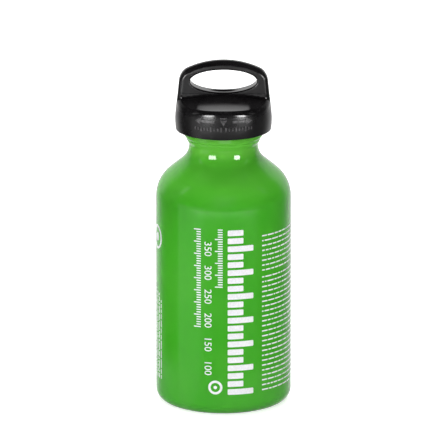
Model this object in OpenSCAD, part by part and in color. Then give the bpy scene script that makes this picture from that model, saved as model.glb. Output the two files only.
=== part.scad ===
// Camping fuel bottle with a push-and-turn closure.
// Millimetres, +Z up, origin at the centre of the base, on the surface it stands on.
// The carrying eye lies in the XZ plane at rest.

/* [Bottle] */
// Outer diameter of the barrel
body_d = 68; // [62:0.5:82]
// Height of the straight side, where the shoulder begins
side_h = 106; // [80:0.5:170]
// Radius of the rounded edge between side and base
base_corner_r = 6.3; // [4:0.1:8]
// Thickness of the side and shoulder
wall = 1.1; // [0.8:0.05:1.6]
// Thickness of the base
base_wall = 1.6; // [1.2:0.1:2.4]
// Width of the ring that the bottle stands on, in from the rounded edge
foot_w = 2.7; // [1.5:0.1:6]
// Height of the hollow under the base
base_hollow_h = 2.5; // [1:0.1:4]

/* [Shoulder and neck] */
// Radius of the rounded shoulder
shoulder_r = 17.5; // [14:0.1:20]
// Angle through which the shoulder turns before it runs straight
shoulder_angle = 50; // [46:0.5:54]
// Radius of the hollow curve where the shoulder meets the neck
neck_blend_r = 10; // [7:0.1:11]
// Thickness of the neck at its narrowest, outside the thread's crests
neck_wall = 3.35; // [2.4:0.05:4.4]
// Height of the narrow part of the neck
neck_waist_h = 0.7; // [0.4:0.1:2]
// How far the first step of the collar stands out from the neck
step_out = 1.15; // [0.8:0.05:1.3]
// Height of the first step of the collar, with its sloping underside
step_h = 3.4; // [3:0.1:4.5]
// How far the collar round the mouth stands out from the neck
collar_out = 2.25; // [1.9:0.05:2.9]
// Height of the collar above the step
collar_h = 7; // [6:0.1:8]
// Edge break at the outside and inside of the mouth
mouth_chamfer = 0.6; // [0.3:0.1:0.8]

/* [Screw thread] */
// Diameter inside the crests of the neck's thread
bore_d = 28; // [24:0.1:34]
// Rise of the closure in one turn
pitch = 3.5; // [3:0.1:4]
// Depth of the thread
thread_depth = 0.9; // [0.5:0.05:1.1]
// Length of the threaded neck, below the mouth
thread_len = 12; // [10.5:0.1:13]
// Radial gap between the plug and the neck
thread_gap = 0.08; // [0.03:0.01:0.1]

/* [Plug] */
// Length of the plug's stem below the mouth
stem_len = 11.5; // [10:0.1:12]
// Wall of the hollow stem below its thread
stem_wall = 2.4; // [1.8:0.1:3]
// Thickness of the plug's flange
flange_h = 2; // [1.6:0.1:2.2]
// Thickness of the sealing ring
seal_h = 1.5; // [1.2:0.1:1.8]
// Radial width of the sealing ring
seal_w = 4; // [3:0.1:5]
// Radial gap between the sealing ring and the hub that centres it
seal_gap = 0.15; // [0.1:0.05:0.3]

/* [Outer cap] */
// How far the skirt at its widest stands out from the collar
cap_out = 4.7; // [3.9:0.05:6.4]
// Radius of the skirt's barrel-shaped side, seen in section
skirt_bulge_r = 40; // [35:1:60]
// Height of the widest place above the skirt's lower edge
skirt_wide_h = 5.4; // [4:0.1:8]
// How far the skirt hangs below the mouth
skirt_hang = 3.1; // [2.2:0.1:3.4]
// Thickness of the skirt at its lower edge
skirt_wall = 1.7; // [1.4:0.05:2]
// Thickness of the cap's top at its thinnest, by the front and back rim
top_wall = 3.6; // [2.6:0.1:4.4]
// Radius of the two finger hollows that rise from the rim to the carrying eye
scoop_r = 50; // [40:1:90]
// Height of the barrel-shaped side's upper end, below the rim of the top
shoulder_drop = 2; // [1:0.1:4]
// Radial gap between the plug's flange and the skirt
flange_gap = 0.1; // [0.03:0.01:0.1]
// How far the snap bead reaches in under the flange
bead_in = 1.3; // [0.9:0.05:1.5]
// Height of the snap bead at its tip
bead_h = 1; // [0.6:0.1:1.2]
// Free height between the flange and the bead, or between facing lugs
play = 0.3; // [0.2:0.05:0.4]

/* [Push and turn] */
// Travel of the outer cap when it is pushed down
push_travel = 1.8; // [1.2:0.1:1.9]
// Number of lugs on each part
lugs = 12; // [8:4:16]
// Part of the lug spacing that one lug fills
lug_share = 0.4; // [0.3:0.01:0.44]
// Height left under the lugs when the cap is pushed down
lug_end_gap = 0.2; // [0.1:0.05:0.4]
// Radial width of the lugs
lug_w = 3.2; // [2:0.1:3.6]
// Wire diameter of the return spring
wire_d = 1; // [0.8:0.05:1.1]
// Mean radius of the return spring's wide lower end
coil_lo_r = 12.2; // [11.5:0.1:13.5]
// Mean radius of the return spring's narrow upper end
coil_hi_r = 8.4; // [6:0.1:8.6]
// Turns of the return spring
coil_turns = 2.5; // [2:0.25:2.5]
// Gap between the spring and what it presses on, at rest
coil_gap = 0.15; // [0.1:0.05:0.3]
// Radial gap between the spring and what centres it
coil_side_gap = 0.4; // [0.2:0.05:0.6]
// Height of the rim and the spigot that centre the spring
centring_h = 1.2; // [0.8:0.1:1.4]

/* [Carrying eye] */
// Height of the eye's crown above the rim of the cap's top
eye_h = 21.1; // [18:0.1:26]
// Thickness of the eye
eye_t = 8; // [6:0.1:10]
// Radius of the eye's arched crown
crown_r = 42.7; // [38:0.1:60]
// Slope of the eye's flanks, in mm of radius for each mm of height
flank_slope = 0.1; // [0.05:0.01:0.14]
// Radius of the corners between flank and crown
crown_corner_r = 2.75; // [2:0.05:4]
// Width of the opening
opening_w = 33.4; // [28:0.1:36]
// Height of the opening
opening_h = 11.6; // [9:0.1:13]
// Height of the bar over the opening
crown_bar = 4.5; // [2.8:0.1:5]

/* [Hidden] */
$fn = 96;
eps = 0.01;
// Angle by which an arc's sector laps into its neighbours
lap = 2;

// Bottle: the shoulder's two arcs and the straight run between them
body_r = body_d / 2;
bore_r = bore_d / 2;
neck_r = bore_r + neck_wall;
shoulder_c = [body_r - shoulder_r, side_h];
turn = [cos(shoulder_angle), sin(shoulder_angle)];
slope_dir = [-sin(shoulder_angle), cos(shoulder_angle)];
shoulder_end = shoulder_c + shoulder_r * turn;
slope_len = (shoulder_end.x + neck_blend_r * turn.x - neck_blend_r - neck_r) / turn.y;
slope_end = shoulder_end + slope_len * slope_dir;
blend_c = slope_end + neck_blend_r * turn;
neck_z = blend_c.y;
step_z = neck_z + neck_waist_h;
collar_z = step_z + step_h;
mouth_z = collar_z + collar_h;
collar_r = neck_r + collar_out;
// Part of the collar's widening that lies above its nominal height
collar_rise = 0.6;
// Height and width, as parts of the step's own, of the bend in its sloping underside
step_bend = [0.8, 0.42];
step_full = 0.6;

// Hollow under the base: one shallow sphere
foot_r = body_r - base_corner_r - foot_w;
hollow_r = (foot_r * foot_r + base_hollow_h * base_hollow_h) / (2 * base_hollow_h);
hollow_cz = base_hollow_h - hollow_r;

// Threaded neck
thread_z = mouth_z - thread_len;
throat_in = 2.6;
throat_z = thread_z - throat_in;
throat_skin = 0.1;
thread_rings = floor((thread_len - pitch / 2) / pitch);
crest_half = pitch * 0.15;
flank_half = pitch * 0.32;

// Plug, seen from the mouth upwards
plug_r = bore_r - thread_gap;
stem_z = mouth_z - stem_len;
stem_bore_r = plug_r - thread_depth - stem_wall;
hub_r = bore_r + mouth_chamfer + seal_gap;
flange_z = mouth_z + seal_h;
flange_top = flange_z + flange_h;
seal_in_r = hub_r + seal_gap;
vent_w = 2.4;
vent_in = 0.4;
stem_chamfer = 0.6;

// Outer cap: the skirt is a slice of a barrel whose section is one arc
cap_r = collar_r + cap_out;
skirt_z = mouth_z - skirt_hang;
wide_z = skirt_z + skirt_wide_h;
barrel_cx = cap_r - skirt_bulge_r;
skirt_edge_r = barrel_cx + sqrt(pow(skirt_bulge_r, 2) - pow(skirt_wide_h, 2));
skirt_in_r = skirt_edge_r - skirt_wall;
flange_r = skirt_in_r - flange_gap;
lug_h = push_travel + lug_end_gap;
ceiling_z = flange_top + 2 * lug_h + play;
top_z = ceiling_z + top_wall;
flank_z = top_z - shoulder_drop;
flank_lo_r = barrel_cx + sqrt(pow(skirt_bulge_r, 2) - pow(flank_z - wide_z, 2));
bead_r = skirt_in_r - bead_in;
bead_top = flange_z - play;
lug_edge = 1;
lug_out_r = flange_r - lug_edge;
lug_in_r = lug_out_r - lug_w;
lug_step = 360 / lugs;
lug_arc = lug_step * lug_share;

// Carrying eye
crown_z = top_z + eye_h;
crown_cz = crown_z - crown_r;
flank_r = function (z) flank_lo_r - flank_slope * (z - flank_z);
rim_r = flank_r(top_z);
fold_z = top_z + scoop_r - sqrt(pow(scoop_r, 2) - pow(rim_r - eye_t / 2, 2));
corner_drop = 8;
corner_cx = flank_r(crown_z - corner_drop) - crown_corner_r;
corner_reach = crown_r - crown_corner_r;
corner_cz = crown_cz + sqrt(pow(corner_reach, 2) - pow(corner_cx, 2));
opening_cz = crown_z - crown_bar - opening_h / 2;

// Return spring
coil_lo = flange_top + coil_gap + wire_d / 2;
coil_hi = ceiling_z - coil_gap - wire_d / 2;
coil_steps = 20;
wire_sides = 6;
rim_in_r = coil_lo_r + wire_d / 2 + coil_side_gap;
rim_w = 1.2;
spigot_r = coil_hi_r - wire_d / 2 - coil_side_gap;

// Outline of the bottle's section, drawn in by t; the corners keep their centres
module bottle_outline(t) {
  translate([0, base_corner_r]) square([body_r - t, side_h - base_corner_r]);
  translate([0, t]) square([body_r - base_corner_r, base_corner_r]);
  translate([body_r - base_corner_r, base_corner_r]) circle(base_corner_r - t);
  intersection() {
    translate(shoulder_c) circle(shoulder_r - t);
    translate(shoulder_c) polygon([
      [0, 0],
      2 * shoulder_r * [cos(lap), -sin(lap)],
      2 * shoulder_r * [cos(shoulder_angle + lap), sin(shoulder_angle + lap)]
    ]);
  }
  difference() {
    polygon([
      [0, side_h - eps],
      shoulder_c - [0, eps],
      shoulder_c,
      shoulder_end - t * turn,
      slope_end - t * turn,
      blend_c,
      [blend_c.x - neck_blend_r - t, neck_z],
      [0, neck_z]
    ]);
    translate(blend_c) circle(neck_blend_r + t);
  }
}

// Neck and collar above the shoulder
module neck_outline() {
  polygon([
    [0, neck_z - eps],
    [neck_r, neck_z - eps],
    [neck_r, step_z],
    [neck_r + step_out * step_bend.x, step_z + step_h * step_bend.y],
    [neck_r + step_out, step_z + step_h * step_full],
    [neck_r + step_out, collar_z - (collar_out - step_out) * (1 - collar_rise)],
    [collar_r, collar_z + (collar_out - step_out) * collar_rise],
    [collar_r, mouth_z - mouth_chamfer],
    [collar_r - mouth_chamfer, mouth_z],
    [0, mouth_z]
  ]);
}

// Space inside the neck, with the thread's grooves as rings of its full depth
module throat_outline() {
  throat_r = blend_c.x - sqrt(pow(neck_blend_r + wall, 2) - pow(neck_z - throat_z, 2)) - throat_skin;
  polygon([
    [0, throat_z - eps],
    [throat_r, throat_z - eps],
    [throat_r, throat_z],
    [bore_r, thread_z],
    [bore_r, mouth_z - mouth_chamfer],
    [bore_r + mouth_chamfer, mouth_z],
    [bore_r + mouth_chamfer, mouth_z + 1],
    [0, mouth_z + 1]
  ]);
  for (i = [1:thread_rings]) translate([bore_r, mouth_z - i * pitch]) {
    polygon([
      [-eps, -flank_half],
      [thread_depth, -crest_half],
      [thread_depth, crest_half],
      [-eps, flank_half]
    ]);
  }
}

module bottle_shell() {
  color([0.22, 0.62, 0.16]) rotate_extrude() difference() {
    union() {
      bottle_outline(0);
      neck_outline();
    }
    difference() {
      intersection() {
        bottle_outline(wall);
        translate([0, base_wall]) square([body_r, throat_z - base_wall]);
      }
      translate([0, hollow_cz]) circle(hollow_r + base_wall);
    }
    throat_outline();
    intersection() {
      translate([0, hollow_cz]) circle(hollow_r);
      translate([0, -1]) square([foot_r, base_hollow_h + 2]);
    }
    translate([-2 * body_r, -body_r]) square([2 * body_r, 8 * body_r]);
  }
}

module seal_ring() {
  color([0.12, 0.12, 0.12]) translate([0, 0, mouth_z]) difference() {
    cylinder(h = seal_h, r = seal_in_r + seal_w);
    translate([0, 0, -1]) cylinder(h = seal_h + 2, r = seal_in_r);
  }
}

// Ring of lugs standing on z = 0
module lug_ring(height) {
  for (i = [0:lugs - 1]) rotate([0, 0, i * lug_step - lug_arc / 2]) rotate_extrude(angle = lug_arc)
    translate([lug_in_r, 0]) square([lug_w, height]);
}

module threaded_plug() {
  root_r = plug_r - thread_depth;
  color([0.16, 0.16, 0.17]) difference() {
    union() {
      rotate_extrude() {
        polygon([
          [0, stem_z],
          [root_r - stem_chamfer, stem_z],
          [root_r, stem_z + stem_chamfer],
          [root_r, mouth_z + play],
          [hub_r, mouth_z + play],
          [hub_r, flange_z],
          [flange_r, flange_z],
          [flange_r, flange_top],
          [rim_in_r + rim_w, flange_top],
          [rim_in_r + rim_w, flange_top + centring_h],
          [rim_in_r, flange_top + centring_h],
          [rim_in_r, flange_top],
          [0, flange_top]
        ]);
        for (i = [1:thread_rings]) translate([root_r, mouth_z - i * pitch + pitch / 2]) polygon([
          [-eps, -flank_half],
          [thread_depth, -crest_half],
          [thread_depth, crest_half],
          [-eps, flank_half]
        ]);
      }
      translate([0, 0, flange_top - eps]) lug_ring(lug_h + eps);
    }
    translate([0, 0, stem_z - 1]) cylinder(h = stem_len + 1, r = stem_bore_r);
    translate([root_r - vent_in, -vent_w / 2, stem_z - 1]) cube([thread_depth + 1, vent_w, stem_len]);
  }
}

module return_spring() {
  rings = round(coil_turns * coil_steps);
  wire_points = [
    for (i = [0:rings], s = [0:wire_sides - 1])
      let (
        a = i * 360 / coil_steps,
        b = s * 360 / wire_sides,
        r = coil_lo_r + (coil_hi_r - coil_lo_r) * i / rings + wire_d / 2 * cos(b)
      )
      [r * cos(a), r * sin(a), coil_lo + (coil_hi - coil_lo) * i / rings + wire_d / 2 * sin(b)]
  ];
  sides = [
    for (i = [0:rings - 1], s = [0:wire_sides - 1])
      let (p = i * wire_sides + s, q = i * wire_sides + (s + 1) % wire_sides)
      each [[p, q, p + wire_sides], [q, q + wire_sides, p + wire_sides]]
  ];
  first_end = [for (s = [1:wire_sides - 2]) [0, s + 1, s]];
  last = rings * wire_sides;
  last_end = [for (s = [1:wire_sides - 2]) [last, last + s, last + s + 1]];
  color([0.75, 0.75, 0.77]) polyhedron(wire_points, concat(sides, first_end, last_end));
}

// Section of the cap before the eye is cut out of it: a slice of the barrel, then the straight flanks
module cap_outline() {
  intersection() {
    translate([barrel_cx, wide_z]) circle(skirt_bulge_r);
    translate([0, skirt_z]) square([cap_r + 1, flank_z - skirt_z]);
  }
  polygon([
    [0, flank_z - eps],
    [flank_r(flank_z - eps), flank_z - eps],
    [flank_r(crown_z + 1), crown_z + 1],
    [0, crown_z + 1]
  ]);
}

// Hollows for the fingers in front of the eye and behind it, level where they meet the rim.
// What they leave between them is the eye's flat bar.
module finger_hollows() {
  for (side = [0, 180]) rotate([0, 0, side]) intersection() {
    translate([2 * cap_r, -rim_r, top_z + scoop_r]) rotate([0, -90, 0]) cylinder(h = 4 * cap_r, r = scoop_r, $fn = 240);
    translate([-cap_r - 1, -cap_r - 1, top_z - 1]) cube([2 * cap_r + 2, cap_r + 1 - eye_t / 2, crown_z - top_z + 3]);
  }
}

module cap_hollow() {
  polygon([
    [0, skirt_z - 1],
    [skirt_in_r, skirt_z - 1],
    [skirt_in_r, bead_top - bead_h - bead_in],
    [bead_r, bead_top - bead_h],
    [bead_r, bead_top],
    [skirt_in_r, bead_top],
    [skirt_in_r, ceiling_z],
    [0, ceiling_z]
  ]);
}

// Front view of the cap with the eye's crown and its corners, drawn with Z as the second axis
module crown_outline() {
  away = 3 * crown_corner_r;
  up = [corner_cx, corner_cz - crown_cz] / corner_reach;
  difference() {
    intersection() {
      translate([0, crown_cz]) circle(crown_r);
      translate([-cap_r - 1, skirt_z - 1]) square([2 * cap_r + 2, crown_z]);
    }
    for (side = [-1, 1]) scale([side, 1]) translate([corner_cx, corner_cz]) polygon([
      [0, 0],
      [away, 0],
      [away, away],
      away * up
    ]);
  }
  for (side = [-1, 1]) translate([side * corner_cx, corner_cz]) circle(crown_corner_r);
}

// The opening is an ellipse, drawn by its own formula
module opening_outline() {
  translate([0, opening_cz]) polygon([
    for (a = [0:7.5:352.5]) [opening_w / 2 * cos(a), opening_h / 2 * sin(a)]
  ]);
}

module outer_cap() {
  color([0.06, 0.06, 0.065]) {
    intersection() {
      difference() {
        rotate_extrude() intersection() {
          difference() {
            cap_outline();
            cap_hollow();
          }
          translate([0, skirt_z]) square([cap_r + 1, top_z]);
        }
        finger_hollows();
        rotate([90, 0, 0]) linear_extrude(eye_t + 2, center = true) opening_outline();
      }
      rotate([90, 0, 0]) linear_extrude(2 * cap_r + 4, center = true) crown_outline();
    }
    rotate([0, 0, lug_step / 2]) translate([0, 0, ceiling_z - lug_h]) lug_ring(lug_h + eps);
    translate([0, 0, ceiling_z - centring_h]) cylinder(h = centring_h + eps, r = spigot_r);
  }
}

bottle_shell();
seal_ring();
threaded_plug();
return_spring();
outer_cap();
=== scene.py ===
import math
import random

import bmesh
import bpy
import numpy as np
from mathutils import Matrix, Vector


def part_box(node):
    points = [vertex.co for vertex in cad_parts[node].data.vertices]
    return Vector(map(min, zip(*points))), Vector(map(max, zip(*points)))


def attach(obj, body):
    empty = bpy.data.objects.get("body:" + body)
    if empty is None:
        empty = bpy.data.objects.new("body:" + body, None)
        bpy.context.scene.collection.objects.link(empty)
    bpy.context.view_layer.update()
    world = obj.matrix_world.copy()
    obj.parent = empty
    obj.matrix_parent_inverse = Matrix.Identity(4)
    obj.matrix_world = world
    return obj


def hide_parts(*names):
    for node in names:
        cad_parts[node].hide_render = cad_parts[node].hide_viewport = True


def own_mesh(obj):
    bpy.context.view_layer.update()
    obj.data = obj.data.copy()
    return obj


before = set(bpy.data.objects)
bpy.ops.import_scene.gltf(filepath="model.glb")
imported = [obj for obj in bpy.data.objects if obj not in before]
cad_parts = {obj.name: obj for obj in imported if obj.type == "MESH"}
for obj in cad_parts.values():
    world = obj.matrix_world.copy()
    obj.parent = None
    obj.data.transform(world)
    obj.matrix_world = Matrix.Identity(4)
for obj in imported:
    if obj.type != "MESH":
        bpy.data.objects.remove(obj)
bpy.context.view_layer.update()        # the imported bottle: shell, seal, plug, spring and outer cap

mm = 0.001    # every size below is in millimetres, meshes are in metres
print("frame loaded")

# heights and radii that the pieces share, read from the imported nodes
shellBox = [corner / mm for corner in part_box("bottle_shell")]
sealBox = [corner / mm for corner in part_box("seal_ring")]
plugBox = [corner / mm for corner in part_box("threaded_plug")]
springBox = [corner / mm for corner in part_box("return_spring")]
capBox = [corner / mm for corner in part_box("outer_cap")]
barrelR, mouthZ = shellBox[1].y, shellBox[1].z
flangeR, flangeZ = plugBox[1].y, sealBox[1].z
skirtZ, crownZ = capBox[0].z, capBox[1].z


# camera and lamps

camera = {
    "pitch": 15.49,          # degrees above the horizon
    "distance": 6000,
    "aimHeight": 91.2,
    "frameWidth": 224.85,    # what the picture spans at the bottle's axis
    "sensor": 36,
    "clipEnd": 100000,
}

# degrees round the bottle from the camera's side, degrees above the horizon, distance, size, power,
# and whether the lamp gives plain light only or shows in mirrored rays only
lamps = {
    "leftStrip": (-37, 16, 1300, (520, 480), 17, "mirrored"),
    "rightStrip": (45, 16, 1300, (430, 480), 17, "mirrored"),
    "leftGlint": (-83, 35, 1300, (110, 520), 0.3, "mirrored"),
    "rightGlint": (83, 35, 1300, (110, 520), 0.15, "mirrored"),
    "sideFill": (-100, 20, 1400, (1000, 1000), 6.4, "plain"),
    "frontFill": (0, 20, 1400, (1000, 1000), 12.5, "plain"),
    "backSoftbox": (180, 42, 1500, (1100, 560), 3.5, "plain"),
    "topSoftbox": (180, 78, 1400, (1300, 420), 15, "plain"),
    "topSheen": (180, 78, 1400, (1300, 420), 4, "mirrored"),
}

# small black cards beside the bottle, which keep the strips off its shoulder
flags = {"angles": (-28, 34), "distance": 60, "size": (34, 17), "height": 119.5}


def addObject(name, data):
    thing = bpy.data.objects.new(name, data)
    bpy.context.scene.collection.objects.link(thing)
    return thing


def addSheet(name, corners, material):
    mesh = bpy.data.meshes.new(name)
    mesh.from_pydata(corners, [], [(0, 1, 2, 3)])
    mesh.materials.append(material)
    return addObject(name, mesh)


def placeRound(thing, angle, rise, distance):
    # the thing's own Z ends up pointing away from the bottle
    turn, lift = math.radians(angle), math.radians(rise)
    out = Vector((math.sin(turn) * math.cos(lift), -math.cos(turn) * math.cos(lift), math.sin(lift)))
    thing.location = out * distance * mm + Vector((0, 0, camera["aimHeight"] * mm))
    thing.rotation_euler = out.to_track_quat("Z", "Y").to_euler()


def makeCamera():
    data = bpy.data.cameras.new("photoCamera")
    data.sensor_width = camera["sensor"]
    data.lens = camera["sensor"] * camera["distance"] / camera["frameWidth"]
    data.clip_end = camera["clipEnd"] * mm
    eye = addObject("photoCamera", data)
    placeRound(eye, 0, camera["pitch"], camera["distance"])
    bpy.context.scene.camera = eye
    print("camera ready")


def makeLamp(name, angle, rise, distance, size, power, role):
    data = bpy.data.lights.new(name, "AREA")
    data.shape = "RECTANGLE"
    data.size, data.size_y = size[0] * mm, size[1] * mm
    data.energy = power
    lamp = addObject(name, data)
    placeRound(lamp, angle, rise, distance)
    lamp.visible_diffuse = role == "plain"
    lamp.visible_glossy = role == "mirrored"


def makeFlags():
    cloth = newFinish("blackCloth", (0, 0, 0), {"Specular IOR Level": 0})[0]
    wide, tall = [value * mm / 2 for value in flags["size"]]
    corners = [(-wide, 0, -tall), (wide, 0, -tall), (wide, 0, tall), (-wide, 0, tall)]
    for angle in flags["angles"]:
        flag = addSheet("flag", corners, cloth)
        turn, away = math.radians(angle), flags["distance"] * mm
        flag.location = (math.sin(turn) * away, -math.cos(turn) * away, flags["height"] * mm)
        flag.rotation_euler.z = turn
        flag.visible_camera = flag.visible_diffuse = False


# nodes for the surroundings and the finishes

def feed(tree, socket, value):
    # a socket takes a number, a colour or what another socket gives
    if isinstance(value, bpy.types.NodeSocket):
        tree.links.new(value, socket)
    else:
        socket.default_value = value


def addNode(tree, kind, **settings):
    node = tree.nodes.new("ShaderNode" + kind)
    for name, value in settings.items():
        setattr(node, name, value)
    return node


def addMath(tree, operation, *values):
    node = addNode(tree, "Math", operation=operation)
    for socket, value in zip(node.inputs, values):
        feed(tree, socket, value)
    return node.outputs[0]


def addRamp(tree, source, fromLow, fromHigh, toLow, toHigh):
    node = addNode(tree, "MapRange", interpolation_type="SMOOTHSTEP")
    for socket, value in zip(node.inputs, (source, fromLow, fromHigh, toLow, toHigh)):
        feed(tree, socket, value)
    return node.outputs[0]


def addMix(tree, amount, first, second):
    node = addNode(tree, "Mix")
    for index, value in ((0, amount), (2, first), (3, second)):
        feed(tree, node.inputs[index], value)
    return node.outputs[0]


def addPlace(tree, kind="Object"):
    # X, Y and Z of a place, or of a direction
    place = addNode(tree, "TexCoord")
    split = addNode(tree, "SeparateXYZ")
    feed(tree, split.inputs[0], place.outputs[kind])
    return tuple(split.outputs)


# the air: even for plain light, and for mirrored rays a white sweep behind the bottle in a dark room
air = {
    "ambient": 0.27,
    "sweepGlow": 1.2,
    "roomGlow": 0.02,
    "overhead": (0.56, 0.7),     # upward parts of a ray between which the sweep fades out
    "behind": (0.4, 0.75),       # backward parts between which it fades in
}


def makeAir():
    world = bpy.data.worlds.new("studioAir")
    bpy.context.scene.world = world
    world.use_nodes = True
    tree = world.node_tree
    tree.nodes.clear()
    paths = addNode(tree, "LightPath").outputs
    backward, upward = addPlace(tree, "Generated")[1:]
    low = addRamp(tree, upward, *air["overhead"], air["sweepGlow"], air["roomGlow"])
    behind = addRamp(tree, backward, *air["behind"], air["roomGlow"], 1)
    sweepLight = addMath(tree, "MULTIPLY", low, behind)
    mirrored = addMath(tree, "MAXIMUM", paths["Is Glossy Ray"], paths["Is Transmission Ray"])
    lit = addMix(tree, mirrored, air["ambient"], sweepLight)
    background = addNode(tree, "Background")
    feed(tree, background.inputs["Strength"], addMix(tree, paths["Is Camera Ray"], lit, 1))
    out = addNode(tree, "OutputWorld")
    feed(tree, out.inputs[0], background.outputs[0])


whiteFloor = {
    "from": (-2600, -2600),
    "to": (2600, 4000),
    "sink": 0.05,                # below the bottle's foot
    "colour": (0.86, 0.86, 0.86, 1),
    "lift": 0.65,                # light that the camera sees it give off, on top of what falls on it
    # its light in mirrored rays, by the degrees round the bottle from the camera's side
    "glow": ((-180, 0.95), (-146, 0.95), (-126, 0.2), (-114, 0.02), (-86, 0.02), (-82, 0.75),
             (-35, 0.75), (-30, 0.3), (0, 0.12), (22, 0.12), (30, 0.25), (55, 0.25), (65, 0.08),
             (116, 0.12), (146, 0.95), (180, 0.95)),
    "eye": (18, 25),             # these sectors start beside the bottle and in front of its axis
    "near": (95, 125),           # within these radii it is never darker than nearGlow
    "nearGlow": 0.5,
    "ringIn": (430, 480),        # between these radii a bright ring begins, and between the next it ends
    "ringOut": (560, 620),
    "ringGlow": 2,
    "ringBack": (-387, -215),    # the ring fades out from here towards the back
}


def floorInMirrors(tree):
    aside, back = addPlace(tree)[:2]
    beside, ahead = [value * mm for value in whiteFloor["eye"]]
    forward = addMath(tree, "SUBTRACT", -ahead, back)
    inner = addMath(tree, "MAXIMUM", addMath(tree, "MINIMUM", aside, beside), -beside)
    around = addMath(tree, "ARCTAN2", addMath(tree, "SUBTRACT", aside, inner), forward)
    sectors = addNode(tree, "ValToRGB")
    feed(tree, sectors.inputs[0], addMath(tree, "MULTIPLY_ADD", around, 0.5 / math.pi, 0.5))
    stops = sectors.color_ramp.elements
    for index, (angle, glow) in enumerate(whiteFloor["glow"]):
        share = (angle + 180) / 360
        stop = stops[index] if index < 2 else stops.new(share)
        stop.position = share
        stop.color = (glow, glow, glow, 1)
    place = addNode(tree, "TexCoord")
    away = addNode(tree, "VectorMath", operation="LENGTH")
    feed(tree, away.inputs[0], place.outputs["Object"])

    def band(source, limits, before, after):
        return addRamp(tree, source, limits[0] * mm, limits[1] * mm, before, after)

    radius = away.outputs["Value"]
    near = band(radius, whiteFloor["near"], whiteFloor["nearGlow"], 0)
    ring = addMath(tree, "MULTIPLY", band(radius, whiteFloor["ringIn"], 0, whiteFloor["ringGlow"]),
                   band(radius, whiteFloor["ringOut"], 1, 0))
    ring = addMath(tree, "MULTIPLY", ring, band(back, whiteFloor["ringBack"], 1, 0))
    return addMath(tree, "ADD", addMath(tree, "MAXIMUM", sectors.outputs[0], near), ring)


def makeFloor():
    paper = bpy.data.materials.new("whitePaper")
    paper.use_nodes = True
    tree = paper.node_tree
    tree.nodes.clear()
    paths = addNode(tree, "LightPath").outputs
    diffuse = addNode(tree, "BsdfDiffuse")
    feed(tree, diffuse.inputs["Color"], whiteFloor["colour"])
    lift = addNode(tree, "Emission")
    seenLift = addMath(tree, "MULTIPLY", paths["Is Camera Ray"], whiteFloor["lift"])
    feed(tree, lift.inputs["Strength"], seenLift)
    seen = addNode(tree, "AddShader")
    feed(tree, seen.inputs[0], diffuse.outputs[0])
    feed(tree, seen.inputs[1], lift.outputs[0])
    mirrored = addNode(tree, "Emission")
    feed(tree, mirrored.inputs["Strength"], floorInMirrors(tree))
    choice = addNode(tree, "MixShader")
    feed(tree, choice.inputs[0], paths["Is Glossy Ray"])
    feed(tree, choice.inputs[1], seen.outputs[0])
    feed(tree, choice.inputs[2], mirrored.outputs[0])
    out = addNode(tree, "OutputMaterial")
    feed(tree, out.inputs["Surface"], choice.outputs[0])
    (left, front), (right, back) = [[value * mm for value in whiteFloor[end]] for end in ("from", "to")]
    corners = [(left, front, 0), (right, front, 0), (right, back, 0), (left, back, 0)]
    floor = addSheet("floor", corners, paper)
    floor.location.z = -whiteFloor["sink"] * mm


def makeStudio():
    bpy.context.scene.view_settings.view_transform = "Standard"
    for name, settings in lamps.items():
        makeLamp(name, *settings)
    makeFlags()
    makeAir()
    makeFloor()
    print("studio ready")


# finishes

# colours are given as they look on a screen, 0 to 255
def screenColour(red, green, blue):
    def linear(value):
        value /= 255
        return value / 12.92 if value <= 0.04045 else ((value + 0.055) / 1.055) ** 2.4
    return (linear(red), linear(green), linear(blue), 1)


def newFinish(name, colour, sockets):
    material = bpy.data.materials.new(name)
    material.use_nodes = True
    surface = material.node_tree.nodes["Principled BSDF"].inputs
    surface["Base Color"].default_value = screenColour(*colour)
    for socket, value in sockets.items():
        surface[socket].default_value = value
    return material, material.node_tree, surface


def addGrain(tree, size, detail, stretch=(1, 1, 1)):
    place = addNode(tree, "TexCoord")
    mapping = addNode(tree, "Mapping")
    feed(tree, mapping.inputs["Vector"], place.outputs["Object"])
    feed(tree, mapping.inputs["Scale"], stretch)
    grain = addNode(tree, "TexNoise")
    feed(tree, grain.inputs["Vector"], mapping.outputs[0])
    feed(tree, grain.inputs["Scale"], 1 / (size * mm))
    feed(tree, grain.inputs["Detail"], detail)
    return grain.outputs["Fac"]


def addBump(tree, surface, relief, depth, below=None):
    bump = addNode(tree, "Bump")
    feed(tree, bump.inputs["Distance"], depth * mm)
    feed(tree, bump.inputs["Height"], relief)
    if below:
        feed(tree, bump.inputs["Normal"], below)
    feed(tree, surface["Normal"], bump.outputs[0])
    return bump.outputs[0]


def addTint(tree, surface, amount, first, second):
    node = addNode(tree, "Mix", data_type="RGBA")
    for index, value in ((0, amount), (6, screenColour(*first)), (7, screenColour(*second))):
        feed(tree, node.inputs[index], value)
    feed(tree, surface["Base Color"], node.outputs[2])


enamel = {
    "colour": (61, 165, 32),
    "sockets": {"Roughness": 0.4, "Specular IOR Level": 0.4},
    "tints": ((58, 163, 30), (99, 184, 62)),
    # painted light and sheen: the paint turns paler up the shoulder, and most of all on the neck, where the
    # light falls: two heights, and how much of the second tint shows below and above them
    "shoulder": (106, 120, 0.115, 0.42),
    "neck": (127.5, 131.5, 0, 0.45),
    "cloud": (35, 3),                        # grain size and detail
    "cloudTint": (0.35, 0.65, -0.09, 0.045),
    "peel": (1.3, 2),
    "peelDepth": 0.006,
    "fine": (0.25, 1),
    "fineDepth": 0.002,
    "gloss": (120, 128, 0.15, 0.06),         # roughness below and above two heights
    "wear": (9, 5),
    "wearRough": (0.3, 0.8, -0.02, 0.03),
}


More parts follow.
